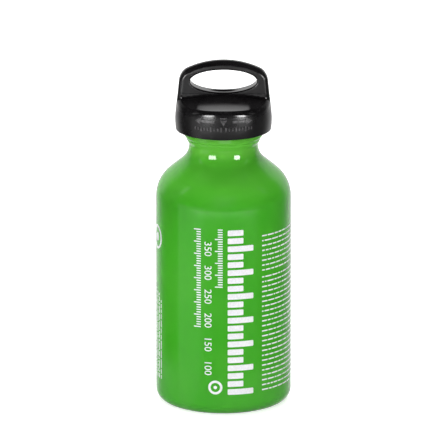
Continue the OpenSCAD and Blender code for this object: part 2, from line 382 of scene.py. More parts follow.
def greenEnamel():
    material, tree, surface = newFinish("greenEnamel", enamel["colour"], enamel["sockets"])
    height = addPlace(tree)[2]

    def byHeight(low, high, below, above):
        return addRamp(tree, height, low * mm, high * mm, below, above)

    # painted light: paler up the shoulder and on the neck, with the random cloud added on top
    paintedLight = addMath(tree, "ADD", byHeight(*enamel["shoulder"]), byHeight(*enamel["neck"]))
    cloud = addRamp(tree, addGrain(tree, *enamel["cloud"]), *enamel["cloudTint"])
    addTint(tree, surface, addMath(tree, "ADD", paintedLight, cloud), *enamel["tints"])
    peel = addBump(tree, surface, addGrain(tree, *enamel["peel"]), enamel["peelDepth"])
    addBump(tree, surface, addGrain(tree, *enamel["fine"]), enamel["fineDepth"], peel)
    wear = addRamp(tree, addGrain(tree, *enamel["wear"]), *enamel["wearRough"])
    feed(tree, surface["Roughness"], addMath(tree, "ADD", byHeight(*enamel["gloss"]), wear))
    return material


nylon = {
    "colour": (17, 16, 17),
    "sockets": {"Roughness": 0.17},
    "tints": ((14, 13, 14), (21, 20, 21)),
    "cloud": (14, 3),                        # grain size and detail
    "cloudTint": (0.35, 0.65, 0, 1),
    "facing": (0.8, 0.99, 0, 1),             # how far a face must look to the front or back for the satin
    "satinRough": 0.28,                      # added to the gloss there
    "satin": (1.1, 4),
    "satinDepth": 0.11,
    "skirtRough": 0.3,
    "topRough": 0.12,
    "polish": (-2.5, 1),                     # the change lies between these, from the top of the side
    "wear": (5, 4),
    "wearRough": (0.3, 0.75, -0.03, 0.05),
    "fine": (0.35, 2),
    "fineDepth": 0.003,
}


def blackNylon():
    material, tree, surface = newFinish("blackNylon", nylon["colour"], nylon["sockets"])
    cloud = addRamp(tree, addGrain(tree, *nylon["cloud"]), *nylon["cloudTint"])
    addTint(tree, surface, cloud, *nylon["tints"])
    # the eye's flat faces are eroded to a satin grain, the rest is polished
    height = addPlace(tree)[2]
    facing = addMath(tree, "ABSOLUTE", addPlace(tree, "Normal")[1])
    above = addRamp(tree, height, cap["foldZ"] * mm, (cap["foldZ"] + 1) * mm, 0, 1)
    satin = addMath(tree, "MULTIPLY", addRamp(tree, facing, *nylon["facing"]), above)
    low, high = [(cap["flankZ"] + step) * mm for step in nylon["polish"]]
    gloss = addRamp(tree, height, low, high, nylon["skirtRough"], nylon["topRough"])
    gloss = addMath(tree, "ADD", gloss, addMath(tree, "MULTIPLY", satin, nylon["satinRough"]))
    wear = addRamp(tree, addGrain(tree, *nylon["wear"]), *nylon["wearRough"])
    feed(tree, surface["Roughness"], addMath(tree, "ADD", gloss, wear))
    fine = addBump(tree, surface, addGrain(tree, *nylon["fine"]), nylon["fineDepth"])
    coarse = addMath(tree, "MULTIPLY", addGrain(tree, *nylon["satin"]), satin)
    addBump(tree, surface, coarse, nylon["satinDepth"], fine)
    return material


turned = (0.05, 0.05, 1)     # draws a grain out into marks that run round the axis
wearSpread = (0.3, 0.7)      # a grain's values between which the wear goes from one roughness to the other

# relief, wear and cloud are grains, by size and detail; wear wanders between two roughnesses, and
# cloud between two tints, which are reached when it is spread from its middle value
plainFinishes = {
    "bareAluminium": {
        "colour": (208, 208, 210),
        "sockets": {"Roughness": 0.34, "Metallic": 1},
        "relief": (0.5, 2, turned), "depth": 0.01,
        "wear": (4, 3), "rough": (0.28, 0.42),
    },
    # painted highlight: the raised marks are the cap's own black nylon, and this paler grey stands in for the
    # light their faces catch; the roughness wanders with wear
    "glintGreyNylon": {
        "colour": (58, 56, 58),
        "sockets": {"Roughness": 0.4},
        "cloud": (1.2, 4), "spread": 0.15, "tints": ((40, 39, 40), (78, 76, 78)),
        "relief": (0.4, 3), "depth": 0.01,
        "wear": (2, 3), "rough": (0.32, 0.5),
    },
    "greyAcetal": {
        "colour": (112, 112, 116),
        "sockets": {"Roughness": 0.4},
        "cloud": (6, 3), "spread": 0.15, "tints": ((104, 104, 108), (118, 118, 122)),
        "relief": (0.4, 2, turned), "depth": 0.006,
        "wear": (3, 3), "rough": (0.34, 0.48),
    },
    "sealRubber": {
        "colour": (34, 34, 35),
        "sockets": {"Roughness": 0.62, "Specular IOR Level": 0.4},
        "relief": (0.3, 3), "depth": 0.012,
        "wear": (2, 3), "rough": (0.55, 0.7),
    },
    "springSteel": {
        "colour": (205, 205, 208),
        "sockets": {"Roughness": 0.25, "Metallic": 1},
        "relief": (0.2, 2), "depth": 0.004,
        "wear": (1.5, 3), "rough": (0.2, 0.34),
    },
    "whiteInk": {
        "colour": (236, 234, 240),
        "sockets": {"Roughness": 0.45},
        "cloud": (0.8, 4), "spread": 0.2, "tints": ((228, 228, 230), (242, 240, 246)),
        "relief": (0.3, 2), "depth": 0.003,
        "wear": (3, 2), "rough": (0.38, 0.52),
    },
}


def plainFinish(name):
    look = plainFinishes[name]
    material, tree, surface = newFinish(name, look["colour"], look["sockets"])
    if "tints" in look:
        low, high = 0.5 - look["spread"], 0.5 + look["spread"]
        addTint(tree, surface, addRamp(tree, addGrain(tree, *look["cloud"]), low, high, 0, 1), *look["tints"])
    addBump(tree, surface, addGrain(tree, *look["relief"]), look["depth"])
    wear = addRamp(tree, addGrain(tree, *look["wear"]), *wearSpread, *look["rough"])
    feed(tree, surface["Roughness"], wear)
    return material


# turned pieces

nearly = 0.05    # how far off a surface a row of points may lie and still belong to it


def addPiece(name, points, faces, materials, slots=None, crease=None):
    mesh = bpy.data.meshes.new(name)
    mesh.from_pydata([tuple(point) for point in np.asarray(points) * mm], [], [tuple(face) for face in faces])
    for material in materials:
        mesh.materials.append(material)
    if slots is not None:
        mesh.polygons.foreach_set("material_index", np.asarray(slots, np.int32))
    mesh.shade_smooth()
    if crease:
        mesh.set_sharp_from_angle(angle=math.radians(crease))
    return addObject(name, mesh)


def filletPoints(before, here, after, fillet, arcStep):
    # the arc that takes the place of a corner, or the corner itself where it is straight or sharp
    toBack, toNext = (before - here).normalized(), (after - here).normalized()
    opening = math.acos(max(-1, min(1, toBack.dot(toNext))))
    if fillet <= 0 or opening > math.radians(179.5):
        return [here]
    reach = fillet / math.tan(opening / 2)
    centre = here + (toBack + toNext).normalized() * fillet / math.sin(opening / 2)
    start, end = here + toBack * reach - centre, here + toNext * reach - centre
    turn = math.atan2(start.x * end.y - start.y * end.x, start.dot(end))
    steps = max(2, math.ceil(abs(math.degrees(turn)) / arcStep))
    arc = []
    for step in range(steps + 1):
        angle = turn * step / steps
        arc.append(centre + Vector((start.x * math.cos(angle) - start.y * math.sin(angle),
                                    start.x * math.sin(angle) + start.y * math.cos(angle))))
    return arc


def roundedPath(corners, arcStep=6, lineStep=4):
    # corners are (radius, height, fillet) and the path keeps its first and last point
    flat = [Vector(corner[:2]) for corner in corners]
    path = [flat[0]]
    for index in range(1, len(corners) - 1):
        path += filletPoints(*flat[index - 1:index + 2], corners[index][2], arcStep)
    path.append(flat[-1])
    dense = [path[0]]
    for before, after in zip(path, path[1:]):
        gap = (after - before).length
        if gap < 1e-6:
            continue
        steps = max(1, math.ceil(gap / lineStep))
        dense += [before.lerp(after, step / steps) for step in range(1, steps + 1)]
    return [(point.x, point.y) for point in dense]


def lathe(name, rows, angles, materials, slotOf=None, shape=None, crease=None):
    # rows run from one end of the section to the other; the ends lie on the axis or the loop is closed
    count, turns = len(rows), len(angles)
    r = np.array([row[0] for row in rows])[:, None] * np.ones(turns)
    z = np.array([row[1] for row in rows])[:, None] * np.ones(turns)
    a = np.radians(np.array(angles))[None, :] * np.ones((count, 1))
    if shape:
        r, z = shape(r, z, a)
    points = np.stack([r * np.cos(a), r * np.sin(a), z], -1).reshape(-1, 3)
    onAxis = [row[0] < 1e-9 for row in rows]
    faces, slots = [], []
    for row in range(count - 1 if onAxis[0] else count):
        after = (row + 1) % count
        for column in range(turns):
            beside = (column + 1) % turns
            if onAxis[row]:
                face = (row * turns, after * turns + beside, after * turns + column)
            elif onAxis[after]:
                face = (row * turns + column, row * turns + beside, after * turns)
            else:
                face = (row * turns + column, row * turns + beside,
                        after * turns + beside, after * turns + column)
            faces.append(face)
            slots.append(slotOf(row) if slotOf else 0)
    used = np.unique(np.concatenate([np.array(face) for face in faces]))
    renumber = np.full(len(points), -1)
    renumber[used] = np.arange(len(used))
    faces = [[int(renumber[index]) for index in face] for face in faces]
    return addPiece(name, points[used], faces, materials, slots, crease)


thread = {
    "pitch": 3.5,
    "depth": 0.9,
    "length": 12,        # of the threaded neck, below the mouth
    "crestShare": 0.3,   # of the pitch
    "rootShare": 0.36,
    "fade": 1.6,         # over which the thread runs in and out
}


def threadHeight(z, a, low, high):
    # 0 at the root and 1 at the crest of a right-hand thread whose crest passes the mouth at angle 0
    phase = np.mod((z - mouthZ) / thread["pitch"] - a / (2 * np.pi) + 0.5, 1) - 0.5
    crest, root = thread["crestShare"] / 2, 0.5 - thread["rootShare"] / 2
    height = np.clip((root - np.abs(phase)) / (root - crest), 0, 1)
    fadeIn = np.clip((z - low) / thread["fade"], 0, 1) * np.clip((high - z) / thread["fade"], 0, 1)
    return height * fadeIn


shell = {
    "columns": 256,
    "paint": 0.03,               # left free under the print, which fills the barrel's full radius
    "dishH": 2.5,                # of the hollow underside
    "dishAt": (0, 4, 8, 12, 16, 20, 23),      # radii of its points
    "footInR": 25,
    "footEdgeR": 0.5,
    "cornerR": 6.3,
    "sideH": 106,
    "shoulderR": 17.5,
    "shoulderTurn": 50,          # degrees
    "blendR": 10,                # between the shoulder and the neck
    "neckR": 17.35,
    "waistH": 0.7,               # of the neck's plain stretch
    "stepR": 18.5,               # of the first ring under the collar
    "stepH": 2,
    "stepEdgeR": (1.2, 0.9),
    "collarR": 19.6,
    "collarH": 7,
    "collarEdgeR": (0.5, 0.6),
    "lipEdgeR": 0.6,
    "paintEnd": 2.6,             # inwards from the collar, on the mouth's flat
    "boreR": 14,
    "fineStep": 0.3,             # between the rows of points that carry the thread
    "quickStep": 0.5,
    "threadStart": 0.1,          # the thread's rows reach this far below its end
    "throatH": 2.6,              # below the thread, where the bore opens
    "throatWall": 0.605,
    "throatLipH": 0.6,
    "throatEdgeR": 0.4,
    "blendCut": 6,               # the neck's inner arc is this much tighter, to end below the throat
    "wall": 1.1,
    "baseWall": 1.6,
    "heel": (26.7, 1),           # inside the foot: radius and fillet
    "dish": (21, 0.4, 2),        # inside the dish's edge: radius, height above the base and fillet
    "crease": 40,
}


def shoulderCorners(inset):
    # the two corners that the shoulder's and the neck's arcs round off, for a wall drawn in by inset
    turn = math.radians(shell["shoulderTurn"])
    bend = math.tan(turn / 2)
    low = shell["sideH"] + shell["shoulderR"] * bend
    high = low + (barrelR - shell["neckR"]) / math.tan(turn)
    shift = inset * bend
    return (low - shift, shell["shoulderR"] - inset), (high - shift, shell["blendR"] + inset)


def shellOutside(outR):
    (lowZ, lowR), (highZ, highR) = shoulderCorners(0)
    waistZ = highZ + shell["blendR"] * math.tan(math.radians(shell["shoulderTurn"]) / 2)
    stepZ = waistZ + shell["waistH"]
    collarZ = mouthZ - shell["collarH"]
    rise = shell["collarR"] - shell["stepR"]
    dish = [(r, shell["dishH"] * (1 - (r / shell["footInR"]) ** 2), 0) for r in shell["dishAt"]]
    return roundedPath(dish + [
        (shell["footInR"], 0, shell["footEdgeR"]),
        (outR, 0, shell["cornerR"]),
        (outR, lowZ, lowR),
        (shell["neckR"], highZ, highR),
        (shell["neckR"], stepZ, shell["stepEdgeR"][0]),
        (shell["stepR"], stepZ + shell["stepH"], shell["stepEdgeR"][1]),
        (shell["stepR"], collarZ - rise * 0.4, shell["collarEdgeR"][0]),
        (shell["collarR"], collarZ + rise * 0.6, shell["collarEdgeR"][1]),
        (shell["collarR"], mouthZ, shell["lipEdgeR"]),
        (shell["collarR"] - shell["paintEnd"], mouthZ, 0),
    ])


def shellInside(outR, threadZ):
    (lowZ, lowR), (highZ, highR) = shoulderCorners(shell["wall"])
    neckInR, barrelInR = shell["neckR"] - shell["wall"], outR - shell["wall"]
    throatZ = threadZ - shell["throatH"]
    heelR, heelFillet = shell["heel"]
    dishR, dishRise, dishFillet = shell["dish"]
    path = roundedPath([
        (shell["collarR"] - shell["paintEnd"], mouthZ, 0),
        (shell["boreR"], mouthZ, shell["lipEdgeR"]),
        (shell["boreR"], threadZ, shell["throatEdgeR"]),
        (shell["neckR"] - shell["throatWall"], throatZ, shell["throatEdgeR"]),
        (neckInR, throatZ - shell["throatLipH"], shell["throatEdgeR"]),
        (neckInR, highZ, highR - shell["blendCut"]),
        (barrelInR, lowZ, lowR),
        (barrelInR, shell["baseWall"], shell["cornerR"] - shell["wall"]),
        (heelR, shell["baseWall"], heelFillet),
        (dishR, shell["baseWall"] + dishRise, dishFillet),
        (0, shell["dishH"] + shell["baseWall"], 0),
    ], lineStep=shell["fineStep"])
    return thinPath(path, threadZ - 1)


def thinPath(path, below, lineStep=4):
    # under the given height, straight runs keep fewer of their points
    kept = [path[0]]
    for before, here, after in zip(path, path[1:], path[2:]):
        turning = (here[0] - before[0]) * (after[1] - here[1]) - (here[1] - before[1]) * (after[0] - here[0])
        straight = abs(turning) < 1e-4
        if here[1] > below or not (straight and math.dist(here, kept[-1]) < lineStep):
            kept.append(here)
    return kept + [path[-1]]


def makeShell(paint, metal):
    outR = barrelR - shell["paint"]
    threadZ = mouthZ - thread["length"]
    outside = shellOutside(outR)
    painted = len(outside) - 1

    def cutThread(r, z, a):
        deep = threadHeight(z, a, threadZ, mouthZ - shell["lipEdgeR"])
        inBore = (np.abs(r - shell["boreR"]) < nearly) & (z > threadZ - shell["threadStart"])
        return np.where(inBore, r + thread["depth"] * deep, r), z

    piece = lathe("bottleShell", outside + shellInside(outR, threadZ)[1:],
                  np.linspace(0, 360, shell["columns"], endpoint=False), [paint, metal],
                  lambda row: 0 if row < painted else 1, cutThread, shell["crease"])
    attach(piece, "bottle")
    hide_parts("bottle_shell")
    print("shell ready")


seal = {
    "inR": 14.9,
    "outR": 18.9,
    "edgeR": 0.35,
    "arcStep": 15,
    "columns": 128,
}


def makeSeal(rubber):
    middleZ = (mouthZ + flangeZ) / 2
    rows = roundedPath([
        (seal["inR"], middleZ, 0),
        (seal["inR"], mouthZ, seal["edgeR"]),
        (seal["outR"], mouthZ, seal["edgeR"]),
        (seal["outR"], flangeZ, seal["edgeR"]),
        (seal["inR"], flangeZ, seal["edgeR"]),
        (seal["inR"], middleZ, 0),
    ], seal["arcStep"])[:-1]
    piece = lathe("sealRing", rows, np.linspace(0, 360, seal["columns"], endpoint=False), [rubber])
    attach(piece, "seal")
    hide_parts("seal_ring")
    print("seal ready")


plug = {
    "columns": 144,
    "arcStep": 15,
    "lineStep": 0.3,
    "stemBoreR": 10.62,
    "stemEndZ": 132.394,
    "stemEdgeR": (0.8, 0.3, 0.6),    # under the ceiling, and at the end inside and outside
    "threadLift": 0.4,       # of the thread's start above the stem's end
    "hubR": 14.75,
    "hubLift": 0.3,          # of the hub's underside above the mouth
    "hubEdgeR": (0.2, 0.1),
    "gap": 0.08,             # between the thread's crests and the neck
    "flangeH": 2,
    "flangeEdgeR": 0.3,
    "rimInR": 13.1,
    "rimOutR": 14.3,
    "rimH": 1.2,
    "rimEdgeR": (0.15, 0.25, 0.3),
    "ventHalf": 1.2,
    "ventDeep": 0.4,         # below the thread's root
    "lugs": 12,
    "lugInR": 17.93,
    "lugOutR": 21.13,
    "lugHalf": 6,            # degrees
    "lugSlope": 0.7,         # degrees on both sides of a lug's edge over which it rises
    "lugH": 2,
    "lugEdge": 0.28,
    "lugRound": 0.6,         # power that rounds a lug's top edges
    "crease": 50,
}


def plugRows(rootR, topZ):
    edge = plug["lugEdge"]
    lugRows = [(r + shift, topZ, 0) for r, sign in ((plug["lugOutR"], 1), (plug["lugInR"], -1))
               for shift in (sign * edge, sign * edge / 2, 0, -sign * edge / 2, -sign * edge)]
    hubZ = mouthZ + plug["hubLift"]
    ceilingEdge, endInEdge, endOutEdge = plug["stemEdgeR"]
    rimFootEdge, rimEdge, rimInEdge = plug["rimEdgeR"]
    return roundedPath([
        (0, mouthZ, 0),
        (plug["stemBoreR"], mouthZ, ceilingEdge),
        (plug["stemBoreR"], plug["stemEndZ"], endInEdge),
        (rootR, plug["stemEndZ"], endOutEdge),
        (rootR, hubZ, plug["hubEdgeR"][0]),
        (plug["hubR"], hubZ, plug["hubEdgeR"][0]),
        (plug["hubR"], flangeZ, plug["hubEdgeR"][1]),
        (flangeR, flangeZ, plug["flangeEdgeR"]),
        (flangeR, topZ, plug["flangeEdgeR"]),
        *lugRows,
        (plug["rimOutR"], topZ, rimFootEdge),
        (plug["rimOutR"], topZ + plug["rimH"], rimEdge),
        (plug["rimInR"], topZ + plug["rimH"], rimEdge),
        (plug["rimInR"], topZ, rimInEdge),
        (0, topZ, 0),
    ], plug["arcStep"], plug["lineStep"])


def makePlug(acetal):
    rootR = shell["boreR"] - plug["gap"] - thread["depth"]
    topZ = flangeZ + plug["flangeH"]
    startZ = plug["stemEndZ"] + plug["threadLift"]
    step, slope = 360 / plug["lugs"], plug["lugSlope"]
    # columns stand closer together at the sides of the lugs
    even = {round(angle, 3) for angle in np.linspace(0, 360, plug["columns"], endpoint=False)}
    close = {round((index * step + side * (plug["lugHalf"] + shift)) % 360, 3)
             for index in range(plug["lugs"]) for side in (-1, 1)
             for shift in (-slope, -slope / 2, 0, slope / 2, slope)}
    middleR, halfR = (plug["lugInR"] + plug["lugOutR"]) / 2, (plug["lugOutR"] - plug["lugInR"]) / 2

    def dress(r, z, a):
        crest = threadHeight(z, a, startZ, mouthZ)
        onStem = (np.abs(r - rootR) < nearly) & (z > startZ) & (z < mouthZ)
        slotted = (np.abs(r * np.sin(a)) < plug["ventHalf"]) & (np.cos(a) > 0)
        dressed = np.where(onStem, np.where(slotted, r - plug["ventDeep"], r + thread["depth"] * crest), r)
        off = np.abs(np.mod(np.degrees(a) + step / 2, step) - step / 2) - plug["lugHalf"]
        across = np.clip(0.5 - off / (2 * slope), 0, 1)
        inward = np.clip(0.5 - (np.abs(r - middleR) - halfR) / (2 * plug["lugEdge"]), 0, 1)
        lift = plug["lugH"] * np.minimum(across, inward) ** plug["lugRound"]
        onTop = (np.abs(z - topZ) < 0.01) & (r > plug["rimOutR"] + 1)
        return dressed, np.where(onTop, z + lift, z)

    piece = lathe("threadedPlug", plugRows(rootR, topZ), sorted(even | close), [acetal],
                  shape=dress, crease=plug["crease"])
    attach(piece, "plug")
    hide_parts("threaded_plug")
    print("plug ready")


spring = {
    "wire": 1,
    "lowR": 12.2,
    "highR": 8.4,
    "turns": 2.5,
    "closed": 0.3,           # share of the turns that lies flat at each end
    "perTurn": 48,
    "sides": 14,
    "pushed": 1.8,
    "crease": 60,
}


def sweep(name, line, radius, sides, material, crease):
    line = np.array(line)
    along = np.gradient(line, axis=0)
    along /= np.linalg.norm(along, axis=1)[:, None]
    out = line * np.array([1, 1, 0])
    out /= np.linalg.norm(out, axis=1)[:, None]
    out -= (out * along).sum(1)[:, None] * along
    out /= np.linalg.norm(out, axis=1)[:, None]
    up = np.cross(along, out)
    turns = np.linspace(0, 2 * np.pi, sides, endpoint=False)
    points = [line[i] + radius * (math.cos(t) * out[i] + math.sin(t) * up[i])
              for i in range(len(line)) for t in turns]
    last = (len(line) - 1) * sides
    faces = [(i + j, i + sides + j, i + sides + (j + 1) % sides, i + (j + 1) % sides)
             for i in range(0, last, sides) for j in range(sides)]
    faces.append(tuple(range(sides)))
    faces.append(tuple(last + j for j in reversed(range(sides))))
    return addPiece(name, points, faces, [material], crease=crease)


def makeSpring(wire):
    low, high = springBox[0].z + spring["wire"] / 2, springBox[1].z - spring["wire"] / 2
    steps = round(spring["turns"] * spring["perTurn"])
    line = []
    for index in range(steps + 1):
        share = index / steps
        climb = min(1, max(0, (share - spring["closed"]) / (1 - 2 * spring["closed"])))
        climb = climb * climb * (3 - 2 * climb)
        r = spring["lowR"] + (spring["highR"] - spring["lowR"]) * share
        turn = 2 * math.pi * spring["turns"] * share
        line.append((r * math.cos(turn), r * math.sin(turn), low + (high - low) * climb))
    piece = sweep("returnSpring", line, spring["wire"] / 2, spring["sides"], wire, spring["crease"])
    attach(piece, "spring")
    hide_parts("return_spring")
    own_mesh(piece)
    print("spring ready")


# the cap is one moulding, drawn as a field of distances: below zero is inside

cap = {
    "grid": 0.42,            # between the points of its mesh
    "bulgeR": 40,            # of the barrel-shaped side
    "wideR": 24.3,
    "wideH": 5.4,
    "flankZ": 153.294,       # where that side ends
    "flankSlope": 0.1,
    "topZ": 155.294,
    "rimEdgeR": 2.2,
    "scoopR": 50,            # of the two finger hollows, level at the rim
    "archR": 116,            # of their slight fall towards the sides
    "foldZ": 159.2,          # where they meet the eye
    "foldEdgeR": 0.4,
    "eyeHalf": 4,
    "eyeEdgeR": (2.2, 3.6),  # at the flanks and at the crown
    "crownR": 42.7,
    "cornerR": 3.4,
    "openingHalf": (16.7, 5.8),
    "openingZ": 166.094,
    "openingEdgeR": 1,
    "skirtInR": 22.234,
    "ceilingZ": 151.694,
    "skirtEdgeR": 0.3,
    "beadR": 20.934,
    "beadH": 1,
    "beadGap": 0.3,
    "beadEdgeR": 0.25,
    "spigotR": 7.5,
    "spigotH": 1.2,
    "spigotEdgeR": 0.25,
    "lugEdgeR": 0.3,
}

# the middle of the arc that bulges the side
bulgeMiddleR, bulgeMiddleZ = cap["wideR"] - cap["bulgeR"], skirtZ + cap["wideH"]


def sideR(height):
    return bulgeMiddleR + math.sqrt(cap["bulgeR"] ** 2 - (height - bulgeMiddleZ) ** 2)


def roundCut(first, second, radius):
    # where both are inside, with the edge between them rounded
    corner = np.hypot(np.maximum(first + radius, 0), np.maximum(second + radius, 0))
    return np.minimum(np.maximum(first, second), -radius) + corner


def roundJoin(first, second, radius):
    # where either is inside, with a fillet between them
    return -roundCut(-first, -second, radius)


def eyeField(x, y, z, flank):
    crown = np.hypot(x, z - (crownZ - cap["crownR"])) - cap["crownR"]
    front = roundCut(crown, flank, cap["cornerR"])
    halfW, halfH = cap["openingHalf"]
    across, up = x / halfW, (z - cap["openingZ"]) / halfH
    high = np.clip(up, 0, 1)
    flankEdge, crownEdge = cap["eyeEdgeR"]
    edgeR = flankEdge + (crownEdge - flankEdge) * high * high * (3 - 2 * high)
    eye = roundCut(front, np.abs(y) - cap["eyeHalf"], edgeR)
    level = np.hypot(across, up)
    steep = np.hypot(across / halfW, up / halfH) + 1e-9
    opening = np.maximum(level * (level - 1) / steep, -halfH)
    return roundCut(eye, -opening, cap["openingEdgeR"])


def capField(x, y, z):
    rho = np.hypot(x, y)
    flankR, slope = sideR(cap["flankZ"]), cap["flankSlope"]
    bulge = np.hypot(rho - bulgeMiddleR, z - bulgeMiddleZ) - cap["bulgeR"]
    flank = (rho - flankR + slope * (z - cap["flankZ"])) / math.hypot(1, slope)
    outside = np.where(z < cap["flankZ"], bulge, flank)
    # each hollow is a slice of a cylinder that lies along the eye, tangent to the rim's level
    rimR = flankR - slope * (cap["topZ"] - cap["flankZ"])
    inwards = np.clip(rimR - np.abs(y), 0, rimR)
    fall = x * x / (2 * cap["archR"])
    scoop = cap["scoopR"] - np.hypot(inwards, cap["topZ"] + cap["scoopR"] - z - fall)
    drum = roundCut(outside, scoop, cap["rimEdgeR"])
    eye = np.maximum(eyeField(x, y, z, flank), cap["flankZ"] - z)
    return roundJoin(drum, eye, cap["foldEdgeR"])


def hollowField(x, y, z):
    rho = np.hypot(x, y)
    hollow = roundCut(rho - cap["skirtInR"], z - cap["ceilingZ"], cap["skirtEdgeR"])
    beadTop = flangeZ - cap["beadGap"]
    slant = (beadTop - cap["beadH"] - z + cap["beadR"] - rho) / math.sqrt(2)
    bead = roundCut(np.maximum(z - beadTop, slant), cap["beadR"] - rho, cap["beadEdgeR"])
    spigot = roundCut(rho - cap["spigotR"], cap["ceilingZ"] - cap["spigotH"] - z, cap["spigotEdgeR"])
    step = 2 * math.pi / plug["lugs"]
    turn = np.abs(np.mod(np.arctan2(y, x), step) - step / 2)
    side = rho * np.sin(turn - math.radians(plug["lugHalf"]))
    ends = np.abs(rho - (plug["lugInR"] + plug["lugOutR"]) / 2) - (plug["lugOutR"] - plug["lugInR"]) / 2
    lug = roundCut(roundCut(side, ends, cap["lugEdgeR"]), cap["ceilingZ"] - plug["lugH"] - z, cap["lugEdgeR"])
    return np.maximum(hollow, -np.minimum(np.minimum(spigot, lug), bead))


def wholeCap(x, y, z):
    edge = cap["skirtEdgeR"]
    return roundCut(roundCut(capField(x, y, z), -hollowField(x, y, z), edge), skirtZ - z, edge)


def cellPoints(values, active):
    # in each cell that the surface passes, the middle of the places where it cuts the cell's edges
    sums, hits = np.zeros((len(active), 3)), np.zeros(len(active))
    for axis in range(3):
        others = [i for i in range(3) if i != axis]
        for first, second in ((0, 0), (0, 1), (1, 0), (1, 1)):
            start = active.copy()
            start[:, others[0]] += first
            start[:, others[1]] += second
            end = start.copy()
            end[:, axis] += 1
            a, b = values[tuple(start.T)], values[tuple(end.T)]
            crossed = (a < 0) != (b < 0)
            point = start + 0.0
            point[:, axis] += np.where(crossed, a / np.where(crossed, a - b, 1), 0)
            sums += point * crossed[:, None]
            hits += crossed
    return sums / hits[:, None]


def cellFaces(inside, number):
    # a quad across each grid edge that the surface cuts, between the four cells round that edge
    faces = []
    for axis in range(3):
        one, two = (axis + 1) % 3, (axis + 2) % 3
        ahead, behind = [slice(None)] * 3, [slice(None)] * 3
        ahead[axis], behind[axis] = slice(1, None), slice(None, -1)
        changes = np.argwhere(inside[tuple(ahead)] != inside[tuple(behind)])
        quads = []
        for first, second in ((0, 0), (1, 0), (1, 1), (0, 1)):
            cell = changes.copy()
            cell[:, one] -= first
            cell[:, two] -= second
            quads.append(number[tuple(cell.T)])
        quads = np.stack(quads, 1)
        flip = inside[tuple(changes.T)]
        quads[flip] = quads[flip][:, ::-1]
        faces.append(quads)
    return np.concatenate(faces)[:, ::-1]


def settle(field, points, step, rounds=4, leastSlope=0.2):
    # moves the points onto the surface, and gives the directions in which it faces there
    probe = step * 0.05
    for turn in range(rounds):
        slope = np.stack([(field(*(points + shift).T) - field(*(points - shift).T)) / (2 * probe)
                          for shift in np.eye(3) * probe], 1)
        size = (slope ** 2).sum(1)
        reach = field(*points.T) / np.maximum(size, leastSlope)
        points -= np.clip(reach, -step / 2, step / 2)[:, None] * slope
    return points, slope / np.sqrt(np.maximum(size, 1e-9))[:, None]


def surfaceNet(field, low, high, step):
    axes = [np.arange(low[i] - step, high[i] + 2 * step, step) for i in range(3)]
    values = np.empty([len(axis) for axis in axes], np.float32)
    for index, x in enumerate(axes[0]):
        values[index] = field(x, axes[1][:, None], axes[2][None, :])
    inside = values < 0
    cells = [len(axis) - 1 for axis in axes]
    total = np.zeros(cells, np.uint8)
    for corner in range(8):
        dx, dy, dz = corner & 1, corner >> 1 & 1, corner >> 2
        total += inside[dx:dx + cells[0], dy:dy + cells[1], dz:dz + cells[2]]
    active = np.argwhere((total > 0) & (total < 8))
    number = np.full(cells, -1, np.int64)
    number[tuple(active.T)] = np.arange(len(active))
    points = cellPoints(values, active) * step + np.array([axis[0] for axis in axes])
    points, normals = settle(field, points, step)
    return points, cellFaces(inside, number), normals


def makeCap(black):
    low = (-cap["wideR"], -cap["wideR"], skirtZ)
    high = (cap["wideR"], cap["wideR"], crownZ)
    points, faces, normals = surfaceNet(wholeCap, low, high, cap["grid"] * (1))
    piece = addPiece("outerCap", points, faces, [black])
    piece.data.normals_split_custom_set_from_vertices(normals)
    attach(piece, "cap")
    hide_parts("outer_cap")
    print("cap ready,", len(faces), "faces")


# flat drawings that are wrapped round the bottle: u runs along the round, v is the height

def barOutline(left, low, wide, tall, corner):
    corner = min(corner, wide / 2, tall / 2)
    right, high = left + wide - corner, low + tall - corner
    left, low = left + corner, low + corner
    points = []
    for start, (u, v) in zip((-90, 0, 90, 180), ((right, low), (right, high), (left, high), (left, low))):
        for turn in (0, 22.5, 45, 67.5, 90):
            angle = math.radians(start + turn)
            points.append((u + corner * math.cos(angle), v + corner * math.sin(angle)))
    return points


def circleOutline(u, v, r, steps=40):
    turns = [2 * math.pi * step / steps for step in range(steps)]
    return [(u + r * math.cos(turn), v + r * math.sin(turn)) for turn in turns]


def solidsFrom(outlines, thick, figures=()):
    # filled outlines and figures, as one closed mesh per shape, thick from 0 upwards
    drawing = bpy.data.curves.new("drawing", "CURVE")
    drawing.dimensions, drawing.fill_mode = "2D", "BOTH"
    drawing.extrude = thick / 2
    for outline in outlines:
        line = drawing.splines.new("POLY")
        line.points.add(len(outline) - 1)
        for point, (u, v) in zip(line.points, outline):
            point.co = (u, v, 0, 1)
        line.use_cyclic_u = True
    holders = [addObject("drawing", drawing)]
    for text, size, u, v in figures:
        letters = bpy.data.curves.new("figures", "FONT")
        letters.body, letters.size, letters.extrude = text, size, thick / 2
        letters.align_x, letters.align_y = "CENTER", "BOTTOM_BASELINE"
        holder = addObject("figures", letters)
        holder.location = (u, v, 0)
        holder.rotation_euler.z = math.radians(-90)
        holders.append(holder)
    bpy.context.view_layer.update()
    build = bmesh.new()
    for holder in holders:
        part = holder.to_mesh()
        part.transform(holder.matrix_world)
        build.from_mesh(part)
        holder.to_mesh_clear()
    for holder in holders:
        bpy.data.objects.remove(holder)
    bmesh.ops.remove_doubles(build, verts=build.verts, dist=1e-4)
    bmesh.ops.translate(build, verts=build.verts, vec=(0, 0, thick / 2))
    return build


